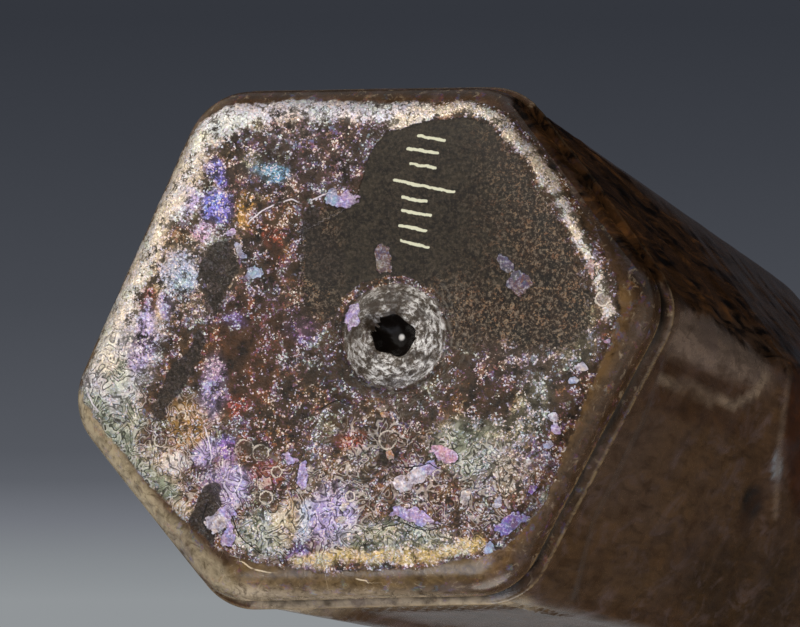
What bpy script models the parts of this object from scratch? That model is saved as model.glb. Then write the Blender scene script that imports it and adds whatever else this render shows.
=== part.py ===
# A tall mould-blown bottle of dark brown glass: one hollow piece with six slightly uneven sides,
# a rounded foot with a double moulding above it, six sunken arched panels, a domed shoulder,
# a round neck and a folded lip. The underside is a little hollow and keeps the scar of the
# glassworker's rod: a low ring of glass around a blind pit. Metres, +Z up, standing on z = 0.

import math

import bmesh
import bpy

# Half the width across the foot, and how each of the six sides departs from a true hexagon,
# counter-clockwise from the one that faces -Y: how much further out it stands, and its turn in degrees
foot_reach = 0.0348
side_shift = [-0.0004, 0.0012, -0.0011, -0.0014, 0.0022, -0.0002]
side_turn = [5.7, -2.3, 2.2, 2.5, -6.6, -1.5]
side_count = 6
first_side_angle = -90.0
foot_corner_radius = 0.0090
body_corner_radius = 0.0070
body_flare = 0.032
# How much of a step inwards is taken off a corner's radius too
corner_follow = 0.5
# The hand-made body leans a little: its sideways shift for each unit of height, and the way it leans
body_lean = 0.045
lean_direction = math.radians(20)

# Heights of the main stages
dome_start = 0.2000
dome_height = 0.0600
neck_length = 0.0300
lip_height = 0.0090

# Thicknesses of the glass
body_wall = 0.0032
floor_thickness = 0.0068
shoulder_wall = 0.0028
neck_wall = 0.0026

# Shoulder, neck and lip
dome_radius = 0.0530
neck_radius = 0.0130
neck_fillet = 0.0050
fillet_turn = math.radians(45)
lip_flare = 0.0058
lip_roll = 0.0020

# Foot: a rounded edge, a flat ring to stand on and two mouldings
foot_round = 0.0050
rest_width = 0.0030
lower_ridge_height = 0.0062
lower_ridge_stand = 0.0002
groove_height = 0.0080
groove_sink = 0.0006
upper_ridge_height = 0.0100
upper_ridge_stand = 0.0012
upper_ridge_half = 0.0006
body_start = 0.0120
body_stand = 0.0006
inner_floor_round = 0.0050
inner_floor_blend = 0.3

# Underside: a shallow hollow with the rod's scar, which sits off the middle
hollow_rise = 0.0012
scar_shift_x = 0.0052
scar_shift_y = -0.0002
scar_radius = 0.0073
scar_crest_radius = 0.0052
scar_crest_drop = 0.0008
pit_radius = 0.0029
pit_floor_radius = 0.0019
pit_depth = 0.0030
scar_blend = 0.55

# Sunken panel on each side, with an arched top
panel_sink = 0.0012
panel_margin = 0.0016
panel_slope = 0.0016
panel_bottom = 0.0155
panel_side_top = 0.0860
panel_arch_rise = 0.0420

# How finely the curves are cut
corner_steps = 3
foot_steps = 3
panel_levels = 4
arch_levels = 8
dome_steps = 7
neck_steps = 2
lip_steps = 4
dome_sharpness = 24

glass_color = (0.115, 0.072, 0.034, 1.0)
glass_roughness = 0.30


def clear_scene():
    for old in list(bpy.data.objects):
        bpy.data.objects.remove(old, do_unlink=True)


def side_angle(index):
    i = index % side_count
    step = 360.0 / side_count
    return math.radians(first_side_angle + step * i + side_turn[i])


def side_reach(index):
    return foot_reach + side_shift[index % side_count]


# Middle of the arc that rounds the corner between a side and the next one
def corner_centre(index, grow, radius):
    a = side_angle(index)
    b = side_angle(index + 1)
    reach_a = side_reach(index) + grow - radius
    reach_b = side_reach(index + 1) + grow - radius
    spread = math.sin(b - a)
    x = (reach_a * math.sin(b) - reach_b * math.sin(a)) / spread
    y = (reach_b * math.cos(a) - reach_a * math.cos(b)) / spread
    return x, y


# Places along a side's straight stretch: the panel's edge, its sunk edge and its middle
def side_stations(length):
    edge = panel_margin / length
    sunk = (panel_margin + panel_slope) / length
    half = (sunk + 0.5) / 2
    return [edge, sunk, half, 0.5, 1 - half, 1 - sunk, 1 - edge]


# The outline at one height, as (x, y, side angle, place along the side).
# The angle is None on a corner and on a panel's outer edge, which are never sunk.
def outline(grow, radius):
    points = []
    for i in range(side_count):
        angle = side_angle(i)
        nx = math.cos(angle)
        ny = math.sin(angle)
        x0, y0 = corner_centre(i - 1, grow, radius)
        x1, y1 = corner_centre(i, grow, radius)
        length = math.hypot(x1 - x0, y1 - y0)
        stations = side_stations(length)
        for t in stations:
            x = x0 + (x1 - x0) * t + radius * nx
            y = y0 + (y1 - y0) * t + radius * ny
            on_edge = t in (stations[0], stations[-1])
            points.append((x, y, None if on_edge else angle, t))
        turn = (side_angle(i + 1) - angle) % math.tau
        for k in range(corner_steps + 1):
            a = angle + turn * k / corner_steps
            x = x1 + radius * math.cos(a)
            y = y1 + radius * math.sin(a)
            points.append((x, y, None, 0.0))
    return points


# How far a panel is sunk at a place along its side and a height, from 0 to 1
def panel_share(t, z):
    across = abs(2 * t - 1)
    top = panel_side_top + panel_arch_rise * (1 - across * across)
    rise = (z - panel_bottom) / panel_slope
    fall = (top - z) / panel_slope
    return max(0.0, min(1.0, rise, fall))


# The smaller of an outline point's distance and a limit, with the change between them rounded
def soft_limit(distance, limit):
    if limit is None:
        return 1.0
    total = distance ** -dome_sharpness + limit ** -dome_sharpness
    return total ** (-1 / dome_sharpness) / distance


# How far the lean has moved the bottle's axis at a height
def lean_at(z):
    shift = body_lean * max(0.0, z - body_start)
    return shift * math.cos(lean_direction), shift * math.sin(lean_direction)


def ring(z, grow, radius, limit=None, sunk=False):
    points = []
    for x, y, angle, t in outline(grow, radius):
        if sunk and angle is not None:
            depth = panel_sink * panel_share(t, z)
            x -= depth * math.cos(angle)
            y -= depth * math.sin(angle)
        scale = soft_limit(math.hypot(x, y), limit)
        lean_x, lean_y = lean_at(z)
        points.append((x * scale + lean_x, y * scale + lean_y, z))
    return points


# A round ring about the rod's scar, with its points in step with the outline's
def scar_ring(z, radius):
    points = []
    for x, y, _, _ in outline(0.0, foot_corner_radius):
        angle = math.atan2(y - scar_shift_y, x - scar_shift_x)
        px = scar_shift_x + radius * math.cos(angle)
        py = scar_shift_y + radius * math.sin(angle)
        points.append((px, py, z))
    return points


# A ring part of the way from one ring to another
def between(first, last, share, z):
    points = []
    for a, b in zip(first, last):
        x = a[0] + (b[0] - a[0]) * share
        y = a[1] + (b[1] - a[1]) * share
        points.append((x, y, z))
    return points


# The underside, from the pit's floor out to the flat ring that the bottle stands on
def underside_rings():
    inner = -foot_round - rest_width
    rest_inner = ring(0.0, inner, foot_corner_radius + inner * corner_follow)
    scar_edge = scar_ring(hollow_rise, scar_radius)
    crest = hollow_rise - scar_crest_drop
    return [
        scar_ring(crest + pit_depth, pit_floor_radius),
        scar_ring(crest, pit_radius),
        scar_ring(crest, scar_crest_radius),
        scar_edge,
        between(scar_edge, rest_inner, scar_blend, hollow_rise * scar_blend),
        rest_inner,
    ]


# The rounded edge of the foot and the two mouldings above it
def foot_rings():
    rings = []
    for k in range(foot_steps + 1):
        a = math.pi / 2 * k / foot_steps
        grow = -foot_round * (1 - math.sin(a))
        radius = foot_corner_radius + grow * corner_follow
        rings.append(ring(foot_round * (1 - math.cos(a)), grow, radius))
    upper_low = upper_ridge_height - upper_ridge_half
    upper_high = upper_ridge_height + upper_ridge_half
    for z, grow in (
        (lower_ridge_height, lower_ridge_stand),
        (groove_height, -groove_sink),
        (upper_low, upper_ridge_stand),
        (upper_high, upper_ridge_stand),
    ):
        rings.append(ring(z, grow, foot_corner_radius))
    return rings


def body_grow(z):
    return body_stand + body_flare * (z - body_start)


def body_heights():
    low = [body_start, panel_bottom, panel_bottom + panel_slope]
    span = panel_side_top - low[-1]
    middle = [low[-1] + span * (k + 1) / panel_levels for k in range(panel_levels)]
    arch = []
    for k in range(arch_levels):
        arch.append(panel_side_top + panel_arch_rise * (k + 1) / arch_levels)
    return low + middle + arch + [dome_start]


def body_rings():
    rings = []
    for z in body_heights():
        rings.append(ring(z, body_grow(z), body_corner_radius, None, True))
    return rings


# The shoulder's profile, a quarter of an ellipse, as (radius, z, outward normal), ending in the neck
def dome_profile():
    points = []
    wide = dome_radius - neck_radius
    stop = math.acos(min(1.0, neck_fillet / wide))
    for k in range(1, dome_steps + 1):
        a = stop * k / dome_steps
        r = neck_radius + wide * math.cos(a)
        z = dome_start + dome_height * math.sin(a)
        nr = math.cos(a) / wide
        nz = math.sin(a) / dome_height
        size = math.hypot(nr, nz)
        points.append((r, z, nr / size, nz / size))
    return points


# The neck and the folded lip, as (radius, z, outward normal), up to the top of the lip
def neck_profile():
    base = dome_start + dome_height
    low = base + neck_fillet
    nr = math.cos(fillet_turn)
    nz = math.sin(fillet_turn)
    points = [(neck_radius + neck_fillet * (1 - nr), low - neck_fillet * nz, nr, nz)]
    for k in range(neck_steps + 1):
        points.append((neck_radius, low + (neck_length - neck_fillet) * k / neck_steps, 1.0, 0.0))
    top = base + neck_length
    for k in range(1, lip_steps + 1):
        share = k / lip_steps
        r = neck_radius + lip_flare * share * share
        slope = math.atan2(2 * lip_flare * share, lip_height)
        points.append((r, top + lip_height * share, math.cos(slope), -math.sin(slope)))
    return points


def profile_ring(r, z, grow):
    return ring(z, grow, body_corner_radius, r)


# The lip is rolled over: a half round between the outer and the inner wall
def lip_rings(r, z, grow):
    rings = []
    for k in range(1, lip_steps):
        a = math.pi * k / lip_steps
        centre = r - neck_wall / 2
        reach = neck_wall / 2 * math.cos(a)
        rings.append(profile_ring(centre + reach, z + lip_roll * math.sin(a), grow))
    return rings


def outer_rings():
    rings = underside_rings() + foot_rings() + body_rings()
    for r, z, _, _ in dome_profile() + neck_profile():
        rings.append(profile_ring(r, z, body_grow(z)))
    return rings


# The inner wall, from the lip down to the floor
def inner_rings():
    rings = []
    for r, z, _, _ in reversed(neck_profile()[1:]):
        rings.append(profile_ring(r - neck_wall, z, body_grow(z)))
    for r, z, nr, nz in reversed(dome_profile()[:-1]):
        inner_r = r - shoulder_wall * nr
        inner_z = z - shoulder_wall * nz
        rings.append(profile_ring(inner_r, inner_z, body_grow(inner_z) - body_wall))
    inner_corner = body_corner_radius - body_wall * corner_follow
    for z in (dome_start, dome_start / 2):
        rings.append(ring(z, body_grow(z) - body_wall, inner_corner))
    foot_wall = body_wall + groove_sink
    for k in range(foot_steps):
        a = math.pi / 2 * k / (foot_steps - 1)
        grow = -foot_wall - inner_floor_round * (1 - math.cos(a))
        z = floor_thickness + inner_floor_round * (1 - math.sin(a))
        rings.append(ring(z, grow, inner_corner))
    middle = ring(floor_thickness, -foot_wall - inner_floor_round, inner_corner)
    rings.append(between(scar_ring(0.0, pit_radius), middle, inner_floor_blend, floor_thickness))
    return rings


# The sides are uneven, so the whole is moved to put the middle of its width and depth on the Z axis
def centre_on_axis(bm):
    for axis in range(2):
        places = [v.co[axis] for v in bm.verts]
        middle = (min(places) + max(places)) / 2
        for v in bm.verts:
            v.co[axis] -= middle


# One closed skin: the outer rings, the lip, the inner rings and a fan at each end
def bottle_mesh():
    outer = outer_rings()
    last_r, last_z, _, _ = neck_profile()[-1]
    rings = outer + lip_rings(last_r, last_z, body_grow(last_z)) + inner_rings()
    bm = bmesh.new()
    rows = []
    for points in rings:
        rows.append([bm.verts.new(p) for p in points])
    count = len(rows[0])
    for low, high in zip(rows, rows[1:]):
        for k in range(count):
            n = (k + 1) % count
            bm.faces.new((low[k], low[n], high[n], high[k]))
    pit = bm.verts.new((scar_shift_x, scar_shift_y, rings[0][0][2]))
    floor = bm.verts.new((scar_shift_x, scar_shift_y, floor_thickness))
    for k in range(count):
        n = (k + 1) % count
        bm.faces.new((pit, rows[0][n], rows[0][k]))
        bm.faces.new((floor, rows[-1][k], rows[-1][n]))
    centre_on_axis(bm)
    bmesh.ops.triangulate(bm, faces=bm.faces)
    bmesh.ops.recalc_face_normals(bm, faces=bm.faces)
    mesh = bpy.data.meshes.new("bottle")
    bm.to_mesh(mesh)
    bm.free()
    mesh.shade_smooth()
    mesh.set_sharp_from_angle(angle=math.radians(35))
    return mesh


def glass_material():
    material = bpy.data.materials.new("brown glass")
    material.use_nodes = True
    shader = material.node_tree.nodes["Principled BSDF"]
    shader.inputs["Base Color"].default_value = glass_color
    shader.inputs["Roughness"].default_value = glass_roughness
    shader.inputs["Metallic"].default_value = 0.0
    shader.inputs["IOR"].default_value = 1.5
    return material


def main():
    clear_scene()
    mesh = bottle_mesh()
    mesh.materials.append(glass_material())
    bottle = bpy.data.objects.new("bottle", mesh)
    bpy.context.scene.collection.objects.link(bottle)


main()
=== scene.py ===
import math
from types import SimpleNamespace
import bpy
import numpy as np
from mathutils import Matrix, Vector
from mathutils import noise as softNoise


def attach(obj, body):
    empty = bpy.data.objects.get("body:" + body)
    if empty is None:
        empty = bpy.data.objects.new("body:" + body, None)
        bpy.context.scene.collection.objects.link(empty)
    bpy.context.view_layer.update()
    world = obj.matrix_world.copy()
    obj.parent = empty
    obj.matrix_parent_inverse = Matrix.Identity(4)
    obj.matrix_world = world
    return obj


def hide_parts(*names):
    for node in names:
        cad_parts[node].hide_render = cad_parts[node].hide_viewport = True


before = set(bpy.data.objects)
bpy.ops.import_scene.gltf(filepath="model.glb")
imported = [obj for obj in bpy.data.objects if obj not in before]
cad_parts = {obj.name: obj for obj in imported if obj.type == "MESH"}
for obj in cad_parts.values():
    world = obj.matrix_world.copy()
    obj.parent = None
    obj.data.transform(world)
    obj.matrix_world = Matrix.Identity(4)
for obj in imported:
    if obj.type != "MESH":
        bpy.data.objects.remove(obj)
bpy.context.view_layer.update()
millimetre = 0.001

# Where the camera stands and how it is turned; pixels below are those of a picture of 800 by 627
view = {
    "place": (79.755, 43.056, -317.568),
    "right": (0.9655443, 0.0573674, 0.2538369),
    "up": (0.0919345, -0.9877000, -0.1264789),
    "look": (-0.2434590, -0.1454573, 0.9589421),
    "lens": 114.0,
    "sensor": 36.0,
    "width": 800,
    "height": 627,
}
pixelsPerUnit = view["lens"] / view["sensor"] * view["width"]
pixelsPerMillimetre = 7.63      # at the underside


# The picture's pixel for points in millimetres
def toPicture(points):
    away = points - np.array(view["place"])
    depth = away @ np.array(view["look"])
    px = view["width"] / 2 + pixelsPerUnit * (away @ np.array(view["right"])) / depth
    py = view["height"] / 2 - pixelsPerUnit * (away @ np.array(view["up"])) / depth
    return px, py


# The point at a height, in millimetres, that a pixel of the picture shows
def fromPicture(px, py, z):
    ray = np.array(view["right"]) * (px - view["width"] / 2) / pixelsPerUnit
    ray = ray + np.array(view["up"]) * (view["height"] / 2 - py) / pixelsPerUnit + np.array(view["look"])
    start = np.array(view["place"])
    return start + ray * (z - start[2]) / ray[2]


# Colours are written as a screen shows them, from 0 to 255
def paint(red, green, blue):
    shades = []
    for value in (red, green, blue):
        part = value / 255
        shades.append(part / 12.92 if part <= 0.04045 else ((part + 0.055) / 1.055) ** 2.4)
    return (*shades, 1.0)


# Shader and geometry node maths, written as Python expressions on a wrapped socket
class Wire:
    def __init__(self, tree, socket=None):
        self.tree = tree
        self.socket = socket

    def node(self, kind, settings=None, inputs=None, output=0):
        made = self.tree.nodes.new(kind)
        for name, value in (settings or {}).items():
            if name == "stops":
                ramp = made.color_ramp
                while len(ramp.elements) < len(value):
                    ramp.elements.new(0.5)
                for element, (place, color) in zip(ramp.elements, value):
                    element.position = place
                    element.color = color
            else:
                setattr(made, name, value)
        for name, value in (inputs or {}).items():
            if isinstance(value, Wire):
                self.tree.links.new(value.socket, made.inputs[name])
            else:
                made.inputs[name].default_value = value
        return Wire(self.tree, made.outputs[output])

    def math(self, operation, *values):
        return self.node("ShaderNodeMath", {"operation": operation}, dict(enumerate(values)))

    def __add__(self, other): return self.math("ADD", self, other)
    def __radd__(self, other): return self.math("ADD", other, self)
    def __sub__(self, other): return self.math("SUBTRACT", self, other)
    def __rsub__(self, other): return self.math("SUBTRACT", other, self)
    def __mul__(self, other): return self.math("MULTIPLY", self, other)
    def __rmul__(self, other): return self.math("MULTIPLY", other, self)
    def __truediv__(self, other): return self.math("DIVIDE", self, other)
    def __rtruediv__(self, other): return self.math("DIVIDE", other, self)
    def __pow__(self, other): return self.math("POWER", self, other)

    def absolute(self): return self.math("ABSOLUTE", self)
    def least(self, other): return self.math("MINIMUM", self, other)
    def most(self, other): return self.math("MAXIMUM", self, other)
    def clamp(self): return self.most(0.0).least(1.0)

    # How far it is above or below a level, times a slope and kept from 0 to 1
    def above(self, level, slope): return ((self - level) * slope).clamp()
    def below(self, level, slope): return ((level - self) * slope).clamp()

    # 0 below low, 1 above high, smooth between
    def step(self, low, high):
        names = {"Value": self, "From Min": low, "From Max": high, "To Min": 0.0, "To Max": 1.0}
        return self.node("ShaderNodeMapRange", {"interpolation_type": "SMOOTHSTEP"}, names)

    # 1 within half a width of a level, fading out over a soft edge
    def band(self, level, half, soft):
        return 1 - (self - level).absolute().step(half, half + soft)

    # The other colour is a wire, or three numbers as a screen shows them
    def mixColor(self, other, share):
        other = other if isinstance(other, Wire) else paint(*other)
        return self.node("ShaderNodeMix", {"data_type": "RGBA"}, {0: share, 6: self, 7: other}, 2)

    # A colour with each of its channels times a number
    def times(self, red, green, blue):
        settings = {"data_type": "RGBA", "blend_type": "MULTIPLY"}
        return self.node("ShaderNodeMix", settings, {0: 1.0, 6: self, 7: (red, green, blue, 1.0)}, 2)

    def joined(self, a, b, c):
        return self.node("ShaderNodeCombineXYZ", {}, {0: a, 1: b, 2: c})

    def ramp(self, stops):
        return self.node("ShaderNodeValToRGB", {"stops": stops}, {"Fac": self})

    def attribute(self, name, output="Fac"):
        return self.node("ShaderNodeAttribute", {"attribute_name": name}, {}, output)


# A plain colour as a wire, for others to be mixed into
def plainColor(wire, red, green, blue):
    made = wire.node("ShaderNodeRGB")
    made.socket.default_value = paint(red, green, blue)
    return made


def emptyMaterial(name):
    material = bpy.data.materials.new(name)
    material.use_nodes = True
    material.node_tree.nodes.clear()
    return material, Wire(material.node_tree)


def sendOut(w, shader, kind="ShaderNodeOutputMaterial"):
    output = w.tree.nodes.new(kind)
    w.tree.links.new(shader.socket, output.inputs["Surface"])


# The bottle's sizes in millimetres and degrees, the same as its solid's where both have them
bottle = {
    "footReach": 34.8,
    "sideShift": [-0.4, 1.2, -1.1, -1.4, 2.2, -0.2],
    "sideTurn": [5.7, -2.3, 2.2, 2.5, -6.6, -1.5],
    "firstSide": -90.0,
    "footCorner": 9.0, "bodyCorner": 7.0, "cornerFollow": 0.5,
    "bodyFlare": 0.032, "bodyLean": 0.045, "leanTurn": 20.0, "bodyStart": 12.0, "bodyStand": 0.6,
    "domeStart": 200.0, "domeHeight": 60.0, "domeRadius": 53.0, "domeSharpness": 24,
    "neckRadius": 13.0, "neckFillet": 5.0, "neckLength": 30.0,
    "lipHeight": 9.0, "lipFlare": 5.8, "lipRoll": 2.0,
    "bodyWall": 3.2, "floorThickness": 6.8, "shoulderWall": 2.8, "neckWall": 2.6,
    "footRound": 5.0, "restWidth": 3.0, "innerFloorRound": 5.0, "innerFloorInset": 0.7,
    "mouldings": [(5.0, 0.0), (6.2, 0.25), (7.1, -0.5), (8.0, -0.85), (8.8, -0.3), (9.5, 1.15),
                  (10.1, 1.3), (10.8, 0.95), (11.6, 0.55), (12.4, 0.62)],
    "hollowRise": 1.2, "hollowBlend": 0.55,
    "scarX": 5.2, "scarY": -0.2, "scarRadius": 7.3, "scarDrop": 0.8,
    "pitRadius": 2.9, "pitDepth": 3.0,
    "panelSink": 1.2, "panelMargin": 1.6, "panelSlope": 2.6,
    "panelBottom": 15.5, "panelSideTop": 86.0, "panelRise": 42.0,
    # sides whose panel follows the picture, with the pixels in a millimetre there, and the ribbed side
    "shownTurns": (-50, 61), "shownScale": 6.0,
    "ribbedTurns": (80, 110), "ribStart": 13.0, "ribRise": 2.0, "ribStop": 60.0, "ribFade": 20.0,
    "ribHeight": 0.28, "ribStep": 3.0, "ribSlant": 0.55,
    # how finely the skin is divided
    "fineSide": 80, "straightShare": 0.8, "hollowSteps": 58, "coarseShare": 0.28,
    "mouldingStep": 0.33, "lowStep": 0.45,
    "bodyRings": [(20.7, 84.0, 40), (84.9, 129.0, 46), (131.6, 200.0, 20)],
}
sides = 6
sideAngles = [math.radians(bottle["firstSide"] + 60 * i + bottle["sideTurn"][i]) for i in range(sides)]
sideReach = [bottle["footReach"] + shift for shift in bottle["sideShift"]]


# The outline at one height: places, the side's angle, place along the side, and 1 on a straight stretch
def outline(grow, radius, perSide):
    straight = round(perSide * bottle["straightShare"])
    rows = []
    centres = []
    for i in range(sides):
        a = sideAngles[i]
        b = sideAngles[(i + 1) % sides]
        ra = sideReach[i] + grow - radius
        rb = sideReach[(i + 1) % sides] + grow - radius
        spread = math.sin(b - a)
        cx = (ra * math.sin(b) - rb * math.sin(a)) / spread
        cy = (rb * math.cos(a) - ra * math.cos(b)) / spread
        centres.append(np.array([cx, cy]))
    for i in range(sides):
        a = sideAngles[i]
        turn = (sideAngles[(i + 1) % sides] - a) % math.tau
        start = centres[i - 1]
        stop = centres[i]
        t = np.arange(straight) / straight
        ones = np.ones(straight)
        flat = start + (stop - start) * t[:, None] + radius * np.array([math.cos(a), math.sin(a)])
        length = np.hypot(*(stop - start))
        rows.append(np.column_stack([flat, ones * a, t, ones * length, ones]))
        angles = a + turn * np.arange(perSide - straight) / (perSide - straight)
        bend = stop + radius * np.column_stack([np.cos(angles), np.sin(angles)])
        blank = np.zeros(len(angles))
        rows.append(np.column_stack([bend, angles, blank, blank + length, blank]))
    return np.vstack(rows)


# Draws a distance in to a limit, smoothly, as the shoulder and the neck narrow
def softLimit(distance, limit):
    if limit is None:
        return np.ones_like(distance)
    sharp = bottle["domeSharpness"]
    return ((distance / limit) ** sharp + 1) ** (-1 / sharp)


# The panel as the picture shows it on the two sides to its right, as a closed chain of pixels
shownPanel = [
    (664, 352), (676, 312), (700, 303), (728, 304), (752, 314), (770, 329), (784, 350), (790, 372),
    (786, 402), (780, 440), (776, 480), (776, 520), (768, 570), (740, 640), (560, 640), (590, 520),
    (640, 420),
]


# Signed distance in millimetres from a panel's outer edge, positive inside it
def insidePanel(t, length, z):
    across = np.abs(2 * t - 1)
    top = bottle["panelSideTop"] + bottle["panelRise"] * (1 - across ** 2)
    side = np.minimum(t, 1 - t) * length - bottle["panelMargin"]
    return np.minimum(np.minimum(side, z - bottle["panelBottom"]), (top - z) * 0.8)


# From 0 to 1, smooth at both ends
def smoothShare(value):
    share = np.clip(value, 0, 1)
    return share * share * (3 - 2 * share)


# How far the body has leaned over at a height
def leanAt(z):
    lean = bottle["bodyLean"] * max(0.0, z - bottle["bodyStart"])
    turn = math.radians(bottle["leanTurn"])
    return lean * math.cos(turn), lean * math.sin(turn)


# Distance in millimetres inside the panel that the picture shows
def insideShown(x, y, z):
    leanX, leanY = leanAt(z)
    height = np.full(len(x), z)
    px, py = toPicture(np.column_stack([x + (middleShift[0] + leanX), y + (middleShift[1] + leanY), height]))
    return np.minimum(depthInside(px, py, shownPanel) / bottle["shownScale"], z - bottle["panelBottom"])


# How far the surface lies under the side's plane: sunken in the panels, a little raised on the ribs
def panelDepth(x, y, z, angle, t, length, flat):
    turns = np.degrees(angle)
    first, last = bottle["shownTurns"]
    edge = np.where(flat > 0, insidePanel(t, length, z), -bottle["panelMargin"])
    edge = np.where((turns > first) & (turns < last), insideShown(x, y, z), edge)
    sunken = bottle["panelSink"] * smoothShare(edge / bottle["panelSlope"])
    first, last = bottle["ribbedTurns"]
    ribbed = (turns > first) & (turns < last) & (flat > 0)
    fade = smoothShare((z - bottle["ribStart"]) / bottle["ribRise"])
    fade = fade * smoothShare((bottle["ribStop"] - z) / bottle["ribFade"])
    wave = np.sin(math.tau * (t * length * bottle["ribSlant"] + z) / bottle["ribStep"])
    return sunken - np.where(ribbed, bottle["ribHeight"] * fade * wave, 0)


# One ring of the skin, with the values that the finish needs later
def ring(z, grow, radius, perSide, limit=None, sunk=False):
    x, y, angle, t, length, flat = outline(grow, radius, perSide).T
    if sunk:
        depth = panelDepth(x, y, z, angle, t, length, flat)
        x = x - depth * np.cos(angle)
        y = y - depth * np.sin(angle)
    scale = softLimit(np.hypot(x, y), limit)
    leanX, leanY = leanAt(z)
    points = np.column_stack([x * scale + leanX, y * scale + leanY, np.full(len(x), z)])
    return {"points": points, "round": np.zeros(len(x)), "turn": angle}


# A ring part of the way between two others, laid flat at a height
def between(first, last, share, height):
    points = first["points"] * (1 - share) + last["points"] * share
    points[:, 2] = height
    return {**last, "points": points}


# A ring about the rod's scar; the pit's mouth is uneven, with a notch towards the upper left
def scarRing(radius, height, perSide, ragged=0.0):
    rows = outline(0.0, bottle["footCorner"], perSide)
    angle = np.arctan2(rows[:, 1] - bottle["scarY"], rows[:, 0] - bottle["scarX"])
    notch = np.exp(-((np.angle(np.exp(1j * (angle - math.radians(215))))) / 0.33) ** 2)
    waves = 0.08 * np.sin(2 * angle + 0.6) + 0.06 * np.sin(5 * angle + 1.9)
    uneven = 1 + ragged * (0.34 * notch + waves - 0.05)
    x = bottle["scarX"] + radius * uneven * np.cos(angle)
    y = bottle["scarY"] + radius * uneven * np.sin(angle)
    ones = np.ones(len(x))
    return {"points": np.column_stack([x, y, ones * height]), "round": ones, "turn": angle}


# How far the skin stands out at a height of the foot, read smoothly between the mouldings' levels
def footGrow(z):
    levels = np.array(bottle["mouldings"])
    place = int(np.clip(np.searchsorted(levels[:, 0], z) - 1, 0, len(levels) - 2))
    low, high = levels[place], levels[place + 1]
    return low[1] + (high[1] - low[1]) * smoothShare((z - low[0]) / (high[0] - low[0]))


def bodyGrow(z):
    return bottle["bodyStand"] + bottle["bodyFlare"] * (z - bottle["bodyStart"])


# The scar's profile: distance from its middle, height, raggedness
def scarProfile():
    rise = bottle["hollowRise"]
    crest = rise - bottle["scarDrop"]
    floor = crest + bottle["pitDepth"]
    return [
        (0.25, floor + 0.1, 0.3), (0.6, floor + 0.08, 0.4), (1.0, floor, 0.5), (1.5, floor - 0.25, 0.7),
        (1.9, floor - 0.7, 0.8), (2.2, crest + 1.9, 0.9), (2.45, crest + 1.2, 1.0), (2.7, crest + 0.62, 1.0),
        (bottle["pitRadius"], crest + 0.28, 1.0), (3.15, crest + 0.05, 1.0), (3.45, crest - 0.08, 0.8),
        (3.8, crest - 0.1, 0.6), (4.2, crest - 0.12, 0.45), (4.6, crest - 0.1, 0.3),
        (5.0, crest - 0.02, 0.2), (5.3, crest + 0.04, 0.15), (5.7, crest + 0.14, 0.1),
        (6.1, crest + 0.32, 0.1), (6.5, crest + 0.56, 0.05), (6.9, crest + 0.74, 0.0),
        (bottle["scarRadius"], rise, 0.0),
    ]


# Equal shares of a whole, from the first to 1
def shares(count):
    return [k / count for k in range(1, count + 1)]


# From the middle of the scar over the hollow underside to the ring that the bottle stands on
def undersideRings(fine, inner):
    rings = [scarRing(r, z, fine // 4, ragged) for r, z, ragged in scarProfile()]
    blend = bottle["hollowBlend"]
    for share in shares(bottle["hollowSteps"]):
        perSide = fine // 2 if share < bottle["coarseShare"] else fine
        first = scarRing(bottle["scarRadius"], 0.0, perSide)
        last = ring(0.0, inner, footCorner(inner), perSide)
        rise = bottle["hollowRise"] * (1 - smoothShare(share) * (1 - blend) - share * blend)
        rings.append(between(first, last, share, rise))
    return rings


def footCorner(grow):
    return bottle["footCorner"] + grow * bottle["cornerFollow"]


# The ring that the bottle stands on, the foot's rounding and the mouldings above it
def footRings(fine, inner):
    rings = []
    for share in shares(6):
        grow = inner + bottle["restWidth"] * share
        rings.append(ring(0.0, grow, footCorner(grow), fine))
    for share in shares(16):
        a = math.pi / 2 * share
        grow = -bottle["footRound"] * (1 - math.sin(a))
        rings.append(ring(bottle["footRound"] * (1 - math.cos(a)), grow, footCorner(grow), fine))
    z = bottle["footRound"] + bottle["mouldingStep"]
    while z < bottle["bodyStart"]:
        rings.append(ring(z, footGrow(z), bottle["footCorner"], fine))
        z += bottle["mouldingStep"]
    return rings


def outerRings():
    fine = bottle["fineSide"]
    corner = bottle["bodyCorner"]
    inner = -bottle["footRound"] - bottle["restWidth"]
    rings = undersideRings(fine, inner) + footRings(fine, inner)
    for z in np.arange(bottle["bodyStart"], bottle["panelBottom"] + 4.6, bottle["lowStep"]):
        share = smoothShare((z - bottle["bodyStart"]) / 4)
        radius = bottle["footCorner"] + (corner - bottle["footCorner"]) * share
        rings.append(ring(z, bodyGrow(z), radius, fine, None, True))
    for first, last, count in bottle["bodyRings"]:
        for z in np.linspace(first, last, count):
            rings.append(ring(z, bodyGrow(z), corner, fine // 2, None, True))
    for r, z in domeProfile(18) + neckProfile():
        perSide = fine // 2 if r > 20 else fine // 4
        rings.append(ring(z, bodyGrow(z), corner, perSide, r))
    return rings


# The shoulder as (radius, height)
def domeProfile(steps):
    neck = bottle["neckRadius"]
    wide = bottle["domeRadius"] - neck
    stop = math.acos(bottle["neckFillet"] / wide)
    base, height = bottle["domeStart"], bottle["domeHeight"]
    angles = [stop * share for share in shares(steps)]
    return [(neck + wide * math.cos(a), base + height * math.sin(a)) for a in angles]


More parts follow.
